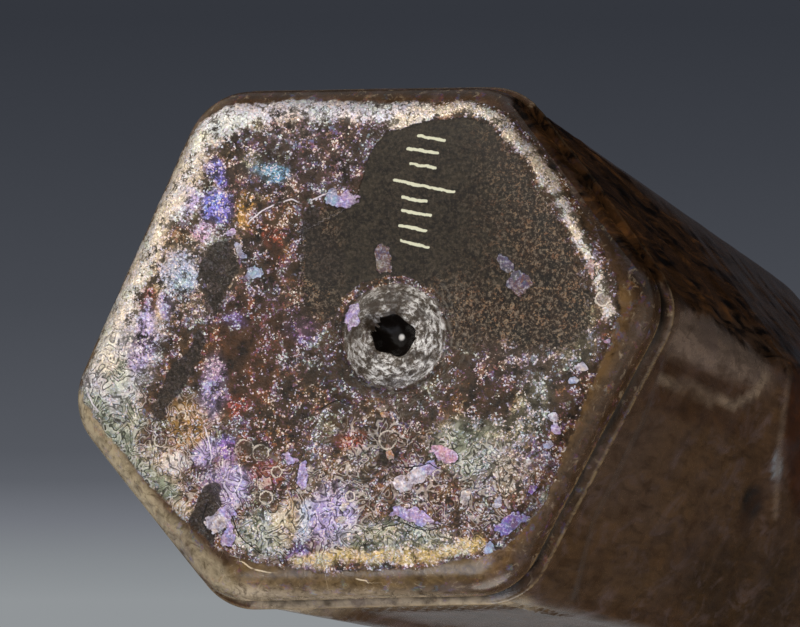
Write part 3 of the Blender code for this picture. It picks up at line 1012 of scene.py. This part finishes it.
# Where each finish lies, with edges that noise makes ragged
def masks(w, s):
    low, high = -0.05 - s.loose * 0.9, 0.10 + s.loose * 1.1
    s.bare = (w.attribute("bare") + s.ragged * (0.35 + s.loose * 2.2)).step(low, high)
    depth = w.attribute("flake") + s.bent * 0.9 - 0.05
    s.flake = depth.step(-0.03, 0.05)
    s.flakeLine = depth.band(-0.09, 0.05, 0.06)
    s.scab = (w.attribute("scab") + s.ragged * 0.22).step(0.25, 0.55)
    s.onCrust = (w.attribute("crustEdge") + s.ragged * 0.7).step(-0.15, 0.2)
    s.crack = (w.attribute("crack") + s.ragged * 0.08).band(0.0, 0.035, 0.07)
    s.light = (w.attribute("light") + s.ragged * 0.10).band(0.0, 0.04, 0.09) * s.broken
    s.under = w.attribute("under").step(0.4, 0.6)
    s.pit = w.attribute("pit").step(0.35, 0.65)
    s.torn = (w.attribute("torn") + (s.clouds(9.0, 4.0, 0.6) - 0.5) * 1.3).step(0.15, 0.75)


# Grains of weathered glass: noise for their clusters, cells for each one's own hue and lightness
def grains(s):
    level = s.cover + (s.fine - 0.5) * 2.4 + (s.clump - 0.5) * 2.2 + (s.soft - 0.5) * 0.8
    s.level = level + (s.chance - 0.5) * 0.6 + (s.coarseChance - 0.5) * 0.3
    s.grain = s.level.step(0.40, 0.80)
    film = s.clouds(crust["filmSize"], 2.0, 0.5) * 1.5 - 0.25
    s.phase = (film + (s.hue - 0.5) * 0.26 + (s.coarseHue - 0.5) * 0.30).clamp()
    s.film = s.phase.ramp(filmStops)


# Layers worn through, seen as fine lines like a map's contours
def wornLines(w, s):
    worn = s.clouds(crust["layerSize"], 2.0, 0.45, 0.5) * crust["layerLines"]
    lines = w.math("FRACT", worn)
    s.darkLine = lines.band(0.5, 0.08, 0.12) * s.layered * (s.mid - 0.36).step(0.0, 0.12)
    s.lightLine = lines.band(0.76, 0.08, 0.12) * s.layered * (s.soft - 0.40).step(0.0, 0.15)


# Rounded edge of silvery crust, partly a painted highlight
def rimCrustAndHighlight(s):
    pearl = s.tint.mixColor((192, 188, 186), (s.glow * 0.9 - 0.2).clamp()).mixColor(s.film, 0.18)
    return pearl.times(0.60, 0.60, 0.61).mixColor((34, 27, 22), s.fine.below(0.44, 8.0) * 0.85)


# Grains over dark ground, with sparks painted as glints, worn layers and the silvery edge that is partly a
# painted highlight
def crustLook(w, s):
    lift = s.tint.times(1.55, 1.55, 1.6)
    grainColor = layers(lift, [
        (s.film, 0.30 + (s.coarseHue - 0.5) * 0.3),
        ((240, 236, 236), ((s.glow - 0.80) * 3.0 + (s.level - 1.1) * 0.6).clamp()),
    ])
    # White specks painted as the glints of the crust's crystals
    spark = (s.sparkChance + (s.clump - 0.5) * 1.1 + s.cover * 0.30).step(1.04, 1.08)
    sparkFilm = (s.phase + (s.sparkHue - 0.5) * 0.5).clamp().ramp(filmStops)
    # Where the silvery edge lies: crust and a painted highlight together
    silver = s.rim * 1.5 - 1.30 + (s.fine - 0.5) * 3.4 + (s.clump - 0.5) * 1.6 + (s.chance - 0.5) * 1.0
    return layers(plainColor(w, 78, 58, 38), [
        (s.tint, 0.35),
        ((22, 16, 10), (0.55 - (s.soft - 0.5) * 1.6 - (s.mid - 0.5) * 1.6).clamp()),
        (lift, s.layered * (0.30 + (s.mid - 0.5) * 1.6).clamp()),
        (grainColor, s.grain * (0.30 + s.glow * 0.70)),
        # Painted glints
        (plainColor(w, 238, 232, 228).mixColor(sparkFilm, 0.45), spark * (0.45 + s.sparkGlow * 0.55)),
        ((30, 24, 18), s.darkLine * 0.8),
        (lift.mixColor((206, 198, 190), 0.5), s.lightLine * 0.75),
        (rimCrustAndHighlight(s), silver.step(0.0, 0.6) * (0.3 + s.rim * 0.5)),
    ])


# Places where the crust is lost: smooth dark glass, mottled and specked where it is loose
def bareLook(w, s):
    s.mottle = s.clouds(0.8, 4.0, 0.75) - 0.5
    spot = (s.sparkChance * 0.6 + s.coarseChance * 0.5 + (s.clump - 0.5) * 1.1).step(0.78, 0.90)
    spotColor = plainColor(w, 150, 124, 94).mixColor((118, 80, 54), s.coarseHue)
    return layers(plainColor(w, 50, 43, 32), [
        ((24, 19, 13), (0.45 + s.mottle * 5.0 + s.loose * 0.3 + (s.soft - 0.5) * 1.6).clamp()),
        ((60, 41, 25), (s.loose * 1.2 * (s.soft * 2.4 - 0.9)).clamp()),
        (spotColor, spot * (s.loose * 1.1 + 0.03).clamp() * 0.75),
        ((150, 140, 132), (s.level - 0.5).step(0.55, 0.9) * s.loose * 0.6),
        ((116, 102, 86), s.fine.above(0.53, 14.0) * (0.14 + s.loose * 0.65)),
        ((12, 9, 7), s.fine.below(0.49, 14.0) * (0.42 + s.loose * 0.45)),
    ])


# Crust and bare glass together, with what lies on them: scabs, flakes, light edges and cracks
def undersideLook(w, s):
    bareColor = bareLook(w, s)
    flakeColor = layers(w.attribute("flakeTint", "Color"), [
        (s.film, 0.32),
        ((96, 82, 96), s.mid.below(0.58, 5.0) * 0.7),
        ((226, 222, 232), s.fine.above(0.50, 5.0) * 0.7),
        ((96, 82, 90), s.fine.below(0.45, 5.0) * 0.7),
        (bareColor, s.bare * 0.42),
    ])
    return layers(crustLook(w, s), [
        (bareColor, s.bare),
        (plainColor(w, 26, 20, 14).mixColor((74, 64, 54), s.fine.above(0.46, 3.0)), s.scab * 0.9),
        ((22, 17, 14), s.flakeLine * (s.mid - 0.3).step(0.1, 0.3) * 0.8),
        (flakeColor, s.flake),
        # Light lines on raised edges, partly painted glints
        ((216, 206, 212), s.light * 0.85),
        ((14, 11, 9), s.crack),
    ])


# Distance from a place of the skin, in the plane of the underside
def awayFrom(s, place):
    return ((s.x - float(place[0])) ** 2 + (s.y - float(place[1])) ** 2) ** 0.5


# Burst bubbles: a light rim around a darker hollow
def addBubbles(s, color):
    for px, py, half in bubbles:
        away = awayFrom(s, fromPicture(px, py, crust["height"])) + (s.fine - 0.5) * 0.7 + s.bent * 0.12
        rimAt = half / pixelsPerMillimetre
        color = layers(color, [
            ((70, 54, 38), away.step(rimAt, rimAt * 0.7) * 0.6),
            ((28, 20, 15), away.band(rimAt + 0.13, 0.03, 0.08) * 0.5),
            ((208, 196, 180), away.band(rimAt, 0.05, 0.08) * s.broken * 0.75),
        ])
    return color


# The rod's scar: streaks that run around it, painted lighter on one side and darker on the other as light and
# shade, and a pit painted near-black as its shade, with a painted glint
def addScar(w, s, color):
    dx = s.x - (bottle["scarX"] + middleShift[0])
    dy = s.y - (bottle["scarY"] + middleShift[1])
    reach = (dx * dx + dy * dy) ** 0.5
    turn = w.math("ARCTAN2", dy, dx)
    swirl = w.joined(w.math("COSINE", turn) * 3.4, w.math("SINE", turn) * 3.4, reach * 1.5 + s.mid * 1.3)
    s.streak = s.clouds(0.7, 5.0, 0.7, 0.4, swirl)
    # Which way a point lies from the scar's middle: painted light falls on this side, painted shade on the
    # other
    side = (dx * 0.75 + dy * 0.66) / reach.most(1.0)
    ringColor = layers(plainColor(w, 88, 80, 70), [
        ((232, 228, 222), s.streak.above(0.47, 6.5) * 0.95),
        ((22, 18, 14), s.streak.below(0.47, 6.0)),
        ((44, 35, 26), s.clouds(2.8, 4.0, 0.65).below(0.53, 12.0) * 0.85),
        # Painted shade on the side away from the light
        ((52, 43, 33), ((0.1 - side) * 0.5 + (s.soft - 0.5) * 1.6).clamp() * 0.8),
    ])
    s.onScar = (reach + s.ragged * 0.35).step(crust["scarEdge"], crust["scarEdge"] - 0.4)
    groove = (reach + s.ragged * 0.3).band(7.35, 0.12, 0.35) * (s.mid - 0.35).step(0.05, 0.2)
    # A glint painted on the pit's floor
    glint = awayFrom(s, fromPicture(*crust["glintPixel"], bottle["hollowRise"] + crust["glintHeight"]))
    # Light streaks beyond the scar on its lit side: painted highlights
    around = (reach - 7.0).step(6.5, 0.0) * (1 - s.onScar) * (side + 0.2).step(0.0, 0.5)
    return layers(color, [
        (ringColor, s.onScar * (1 - s.flake) * 0.92),
        ((20, 16, 12), groove * 0.75),
        # The pit painted near-black as its shade, and the glint painted in it
        ((16, 12, 9), s.pit),
        ((236, 232, 226), glint.step(0.55, 0.2) * s.pit),
        # Painted highlights on the streaks beyond the scar
        ((128, 122, 112), around * s.streak.above(0.5, 5.0) * 0.55),
    ])


# White ink, in plain strokes that spell nothing
def addInk(s, color):
    wobbleX = s.x + (s.clouds(1.3, 2.0) - 0.5) * 0.5
    wobbleY = s.y + (s.clouds(1.1, 2.0) - 0.5) * 0.5
    ink = None
    for first, last in inkStrokes:
        ax, ay, _ = [float(part) for part in fromPicture(*first, crust["height"])]
        bx, by, _ = [float(part) for part in fromPicture(*last, crust["height"])]
        ux, uy = bx - ax, by - ay
        px = wobbleX - ax
        py = wobbleY - ay
        along = ((px * ux + py * uy) / math.hypot(ux, uy) ** 2).clamp()
        away = ((px - along * ux) ** 2 + (py - along * uy) ** 2) ** 0.5
        ink = away if ink is None else ink.least(away)
    half = crust["inkHalf"]
    s.ink = (ink + (s.fine - 0.5) * 0.16).step(half + 0.05, half - 0.05) * s.under
    return color.mixColor((206, 204, 176), s.ink)


# Sides: brown glass under a thin mauve film, with streaks along the body, painted highlights on the
# mouldings' ridges and painted shade in their grooves, painted glints near the foot, and a torn side
def sideLook(w, s):
    s.streaks = s.clouds(1.6, 4.0, 0.65, 0.6, w.joined(s.x * 0.9, s.y * 0.9, s.z * 0.16))
    s.tornNoise = s.clouds(3.4, 5.0, 0.62, 1.2, w.joined(s.x * 0.9, s.y * 0.9, s.z * 0.13))
    blotch = s.clouds(5.5, 4.0, 0.65, 0.8, w.joined(s.x, s.y, s.z * 0.45))
    # Near the foot: worn dark mottles and painted glints
    worn = s.z.step(15.0, 9.0)
    edgeNoise = s.clouds(1.7, 5.0, 0.72, 1.0)
    wavy = s.z + (s.clouds(6.0, 2.0) - 0.5) * 0.7
    body = (1 - s.under) * (1 - s.torn * 0.85)
    # Where the painted highlights on the mouldings' ridges show
    crest = body * (edgeNoise - 0.38).step(0.0, 0.2) * 0.6
    return layers(w.attribute("sideTint", "Color"), [
        ((30, 20, 12), s.streaks.below(0.56, 4.0) * 0.55),
        ((108, 76, 44), s.streaks.above(0.56, 5.0) * 0.30),
        ((92, 78, 74), (s.broad * 2.4 - 1.0).clamp() * 0.28),
        ((104, 88, 86), blotch.above(0.52, 6.0) * 0.45),
        ((52, 33, 16), blotch.below(0.46, 6.0) * 0.55),
        ((58, 42, 22), worn * edgeNoise.below(0.50, 7.0) * 0.65),
        # Pale specks near the foot: painted glints
        ((186, 166, 136), worn * edgeNoise.above(0.57, 8.0) * 0.45),
        (s.film, worn * s.clump.above(0.56, 6.0) * s.fine * 0.5),
        ((58, 37, 19), s.torn * 0.85),
        ((8, 6, 5), s.torn * s.tornNoise.above(0.47, 7.0) * 0.95),
        ((124, 82, 44), s.torn * s.tornNoise.below(0.43, 6.0) * 0.7),
        # Painted highlights on the mouldings' ridges and painted shade in their grooves
        ((132, 108, 72), wavy.band(6.1, 0.18, 0.34) * crest),
        ((26, 20, 14), wavy.band(7.9, 0.95, 0.4) * body * 0.97),
        ((138, 116, 80), wavy.band(9.9, 0.18, 0.34) * crest),
        ((36, 27, 18), wavy.band(11.4, 0.45, 0.6) * body * 0.5),
    ])


# Shape of the surface too fine for the mesh
def fineRelief(w, s, crusty):
    grainHeight = s.cells(crust["grain"], "Distance") * 0.5 + s.fine * 1.1 + s.glow * 0.35 + s.mid * 0.6
    height = crusty * (grainHeight - s.darkLine * 0.5)
    height = height + s.onCrust * (s.bare * s.mottle * 0.9 + s.onScar * s.streak * 1.5)
    height = height + (1 - s.onCrust) * (s.streaks * 0.4 + s.torn * s.tornNoise * 1.2 + s.fine * 0.12)
    return w.node("ShaderNodeBump", {}, {"Strength": 0.6, "Distance": crust["bump"], "Height": height})


# Weathered film over brown glass, dull where it is torn and clearer on the sides
def crustedGlass():
    material, w = emptyMaterial("crusted glass")
    s = sharedFields(w)
    masks(w, s)
    grains(s)
    wornLines(w, s)
    underside = addInk(s, addScar(w, s, addBubbles(s, undersideLook(w, s))))
    color = sideLook(w, s).mixColor(underside, s.onCrust)
    # Light lines on raised edges off the crust, partly painted glints
    color = color.mixColor((226, 206, 172), s.light * (1 - s.onCrust) * 0.85)
    crusty = s.onCrust * (1 - s.bare) * (1 - s.onScar)
    bump = fineRelief(w, s, crusty)
    roughness = 0.36 + (s.fine - 0.5) * 0.3 + s.bare * 0.10 - s.flake * 0.06 - (1 - s.onCrust) * 0.12
    roughness = (roughness - s.pit * 0.15 + s.ink * 0.2).clamp()
    metal = crusty * s.grain * 0.55 * (1 - s.scab) * (1 - s.pit)
    filmGlass = w.node("ShaderNodeBsdfPrincipled", {}, {
        "Base Color": color, "Roughness": roughness, "Metallic": metal, "Normal": bump, "IOR": 1.45,
        "Specular IOR Level": 0.2})
    dullGlass = w.node("ShaderNodeBsdfPrincipled", {}, {
        "Base Color": color, "Roughness": 0.6, "Normal": bump, "Specular IOR Level": 0.0})
    clearGlass = w.node("ShaderNodeBsdfPrincipled", {}, {
        "Base Color": paint(196, 142, 84), "Roughness": 0.16, "Transmission Weight": 1.0, "Normal": bump,
        "IOR": 1.5})
    covered = w.node("ShaderNodeMixShader", {}, {
        0: (1 - s.onCrust) * s.torn * 0.9, 1: filmGlass, 2: dullGlass})
    thin = (0.16 + w.attribute("amber") * 0.5 + (s.broad - 0.5) * 0.3).clamp() * (1 - s.torn * 0.7)
    mixed = w.node("ShaderNodeMixShader", {}, {0: (1 - s.onCrust) * thin, 1: covered, 2: clearGlass})
    sendOut(w, mixed)
    return material


# Relief of the crust and the glass, made by geometry nodes from the values on the points
relief = {
    "Crust height": 0.06, "Flake height": 0.05, "Lump size": 2.6, "Lump height": 0.20,
    "Grain height": 0.05, "Wave size": 16.0, "Wave height": 0.35, "Crack depth": 0.25,
    "Torn size": 7.0, "Torn height": 1.1, "Seed": 4.0,
}


def reliefTree(material):
    tree = bpy.data.node_groups.new("skin relief", "GeometryNodeTree")
    tree.interface.new_socket("Geometry", in_out="INPUT", socket_type="NodeSocketGeometry")
    names = {}
    for name in relief:
        socket = tree.interface.new_socket(name, in_out="INPUT", socket_type="NodeSocketFloat")
        names[name] = socket.identifier
    tree.interface.new_socket("Geometry", in_out="OUTPUT", socket_type="NodeSocketGeometry")
    start = tree.nodes.new("NodeGroupInput")
    size = {socket.name: Wire(tree, socket) for socket in start.outputs}
    w = Wire(tree)

    def read(name):
        return w.node("GeometryNodeInputNamedAttribute", {"data_type": "FLOAT"}, {"Name": name})

    place = w.node("GeometryNodeInputPosition")
    scaled = w.node("ShaderNodeVectorMath", {"operation": "SCALE"}, {0: place, "Scale": 1 / millimetre})

    def clouds(scale, detail=2.0, roughness=0.5, shift=0):
        seed = size["Seed"] + shift if shift else size["Seed"]
        sizes = {"Vector": scaled, "W": seed, "Scale": scale, "Detail": detail, "Roughness": roughness}
        return w.node("ShaderNodeTexNoise", {"noise_dimensions": "4D"}, sizes) - 0.5

    outer = 1 - read("inner").step(0.4, 0.6)
    under = read("crustEdge").step(-0.4, 0.6) * outer
    crusted = under * (1 - read("bare").step(-0.15, 0.25)) * (1 - read("scab") * 0.8)
    lumps = clouds(1 / size["Lump size"]) * size["Lump height"]
    grains = clouds(1 / 0.9, 2.0, 0.55) * size["Grain height"] * 3
    height = crusted * (size["Crust height"] + lumps + grains)
    height = height + read("flake").step(-0.25, 0.2) * size["Flake height"] * under
    height = height - read("crack").band(0.0, 0.12, 0.3) * size["Crack depth"] * under
    height = height + read("light").band(0.0, 0.12, 0.3) * size["Flake height"] * under
    scar = clouds(1 / 1.6, 4.0, 0.55) * 0.5 + clouds(1 / 0.7, 3.0, 0.55) * 0.25
    height = height + read("round") * scar * outer
    waves = clouds(1 / size["Wave size"], 1.0, 0.5, 3) * size["Wave height"]
    height = height + waves * outer * (1 - under)
    tears = clouds(1 / size["Torn size"], 3.0, 0.5, 6) * size["Torn height"]
    height = height + tears * read("torn") * outer * (1 - under)
    normal = w.node("GeometryNodeInputNormal")
    offset = w.node("ShaderNodeVectorMath", {"operation": "SCALE"}, {0: normal, "Scale": height * millimetre})
    moved = w.node("GeometryNodeSetPosition", {}, {"Geometry": size["Geometry"], "Offset": offset})
    real = w.node("GeometryNodeRealizeInstances", {}, {"Geometry": moved})
    dressed = w.node("GeometryNodeSetMaterial", {}, {"Geometry": real, "Material": material})
    finish = tree.nodes.new("NodeGroupOutput")
    tree.links.new(dressed.socket, finish.inputs["Geometry"])
    return tree, names


# Runs a tree on an object and keeps the result as a plain mesh
def bakeNodes(made, tree, names, sizes):
    modifier = made.modifiers.new(tree.name, "NODES")
    modifier.node_group = tree
    for name, identifier in names.items():
        modifier[identifier] = sizes[name]
    graph = bpy.context.evaluated_depsgraph_get()
    solved = bpy.data.meshes.new_from_object(made.evaluated_get(graph), depsgraph=graph)
    made.modifiers.remove(modifier)
    solved.name = made.name
    made.data = solved
    return made


# Map for the baked looks: the underside large, the outer wall as a strip, the inner skin small
bakeMap = {
    "edge": 0.01, "underScale": 0.0079, "underCorner": (-45, -43), "underHeight": 5.5,
    "turns": 1.03,      # how far a face over the seam may run past a whole turn
    "wallStart": 0.70, "wallSize": (0.98, 0.29), "wallHeight": 320,
    "innerStart": 0.745, "innerSize": (0.245, 0.67), "innerHeight": 356,
    "reach": 52,
}


def layBakeMap(made):
    mesh = made.data
    corner = np.zeros(len(mesh.loops), np.int32)
    mesh.loops.foreach_get("vertex_index", corner)
    first = np.zeros(len(mesh.polygons), np.int32)
    mesh.polygons.foreach_get("loop_start", first)
    count = np.diff(np.append(first, len(corner)))
    points = np.zeros(len(mesh.vertices) * 3)
    mesh.vertices.foreach_get("co", points)
    inner = np.zeros(len(mesh.vertices))
    mesh.attributes["inner"].data.foreach_get("value", inner)
    x, y, z = (points.reshape(-1, 3)[corner] / millimetre).T

    def faceMean(value):
        return np.repeat(np.add.reduceat(value, first) / count, count)

    turn = np.arctan2(y, x) / math.tau + 0.5
    wide = np.repeat(np.maximum.reduceat(turn, first) - np.minimum.reduceat(turn, first), count)
    turn = np.where((wide > 0.5) & (turn < 0.5), turn + 1, turn) / bakeMap["turns"]
    edge, reach = bakeMap["edge"], bakeMap["reach"] - np.hypot(x, y)
    low = faceMean(z) < bakeMap["underHeight"]
    inside = faceMean(inner[corner]) > 0.5
    left, front = bakeMap["underCorner"]
    wallWide, wallTall = bakeMap["wallSize"]
    innerWide, innerTall = bakeMap["innerSize"]
    wallAlong = bakeMap["wallStart"] + wallTall * (z + reach * 0.3) / bakeMap["wallHeight"]
    across = np.where(low, edge + (x - left) * bakeMap["underScale"], edge + wallWide * turn)
    along = np.where(low, edge + (y - front) * bakeMap["underScale"], wallAlong)
    across = np.where(inside, bakeMap["innerStart"] + innerWide * turn, across)
    along = np.where(inside, edge + innerTall * (z + reach) / bakeMap["innerHeight"], along)
    layer = mesh.uv_layers.new(name="OFBake")
    layer.data.foreach_set("uv", np.column_stack([across, along]).astype(np.float32).ravel())
    print("bake map", across.min(), across.max(), along.min(), along.max())


print("making the bottle's skin")
glass = makeSkin()
finish = crustedGlass()
glass = bakeNodes(glass, *reliefTree(finish), relief)
layBakeMap(glass)
glass.data.shade_smooth()
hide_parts("bottle")
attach(glass, "root")
print("skin has", len(glass.data.materials), "material and", len(glass.data.polygons), "faces")

# The studio: a pale floor that only shows from above, a soft backdrop in the sky, and lamps
studio = {
    "floorRadius": 2.5, "floorDrop": 0.0004, "floor": (196, 194, 190),
    # pixel down the picture and tone
    "backdrop": [(20, (52, 55, 62)), (150, (60, 63, 70)), (300, (70, 73, 80)), (450, (85, 88, 95)),
                 (480, (93, 96, 103)), (520, (114, 117, 124)), (560, (132, 136, 140)),
                 (600, (145, 149, 152))],
    "zenith": (26, 26, 28), "sky": (168, 170, 173), "below": (58, 60, 64), "skyStrength": 1.0,
    # name, direction from the bottle's base, distance, size, power, colour
    "lamps": [
        ("key", (-0.62, -0.60, -0.42), 0.55, 0.26, 1.75, (255, 251, 244)),
        ("low fill", (-0.10, 0.75, -0.75), 0.70, 0.40, 3.2, (238, 242, 255)),
        ("front fill", (-0.05, -0.35, -0.95), 0.80, 0.35, 3.4, (255, 250, 244)),
        ("side fill", (0.95, 0.35, -0.20), 0.70, 0.60, 1.0, (255, 240, 224)),
        ("far side", (0.10, 0.92, 0.30), 0.90, 0.60, 4.0, (255, 248, 238)),
    ],
}


def addFloor():
    bpy.ops.mesh.primitive_circle_add(
        vertices=96, radius=studio["floorRadius"], fill_type="NGON", location=(0, 0, -studio["floorDrop"]))
    floor = bpy.context.object
    floor.name = "floor"
    material, w = emptyMaterial("pale floor")
    solid = w.node("ShaderNodeBsdfPrincipled", {}, {"Base Color": paint(*studio["floor"]), "Roughness": 0.8})
    clear = w.node("ShaderNodeBsdfTransparent")
    behind = w.node("ShaderNodeNewGeometry", output="Backfacing")
    sendOut(w, w.node("ShaderNodeMixShader", {}, {0: behind, 1: solid, 2: clear}))
    floor.data.materials.append(material)
    floor.visible_shadow = False
    floor.visible_glossy = False
    floor.visible_transmission = False
    floor.visible_diffuse = False


def addSky():
    world = bpy.data.worlds.new("studio")
    bpy.context.scene.world = world
    world.use_nodes = True
    world.node_tree.nodes.clear()
    w = Wire(world.node_tree)
    direction = w.node("ShaderNodeTexCoord", output=0)

    def along(axis):
        return w.node("ShaderNodeVectorMath", {"operation": "DOT_PRODUCT"}, {0: direction, 1: axis}, 1)

    # The backdrop is a patch of the sky above the bottle, darker towards -Y
    ahead = along(view["look"])
    high = along(view["up"]) / ahead.most(0.05)
    tall = view["height"] / pixelsPerUnit
    stops = [(y / view["height"], paint(*color)) for y, color in studio["backdrop"]]
    patch = (0.5 - high / tall).clamp().ramp(stops)
    height = w.node("ShaderNodeSeparateXYZ", {}, {0: direction}, 2)
    around = plainColor(w, *studio["below"]).mixColor(studio["sky"], height.step(-0.12, 0.02))
    around = around.mixColor(studio["zenith"], height.step(0.45, 0.75))
    color = around.mixColor(patch, ahead.step(0.90, 0.975))
    shine = w.node("ShaderNodeBackground", {}, {"Color": color, "Strength": studio["skyStrength"]})
    sendOut(w, shine, "ShaderNodeOutputWorld")


def addLamps():
    base = Vector((0, 0, 0.01))
    for name, direction, distance, size, power, color in studio["lamps"]:
        lamp = bpy.data.lights.new(name, "AREA")
        lamp.shape = "DISK"
        lamp.size = size
        lamp.energy = power
        lamp.color = paint(*color)[:3]
        made = bpy.data.objects.new(name, lamp)
        bpy.context.scene.collection.objects.link(made)
        way = Vector(direction).normalized()
        made.location = base + way * distance
        made.rotation_euler = way.to_track_quat("Z", "Y").to_euler()


def addCamera():
    data = bpy.data.cameras.new("camera")
    data.lens = view["lens"]
    data.sensor_width = view["sensor"]
    data.clip_start = 0.01
    made = bpy.data.objects.new("camera", data)
    bpy.context.scene.collection.objects.link(made)
    turned = Matrix((view["right"], view["up"], [-part for part in view["look"]])).transposed()
    made.matrix_world = Matrix.Translation(Vector(view["place"]) * millimetre) @ turned.to_4x4()
    bpy.context.scene.camera = made


print("setting the stage")
addFloor()
addSky()
addLamps()
addCamera()
bpy.context.scene.view_settings.view_transform = "Standard"
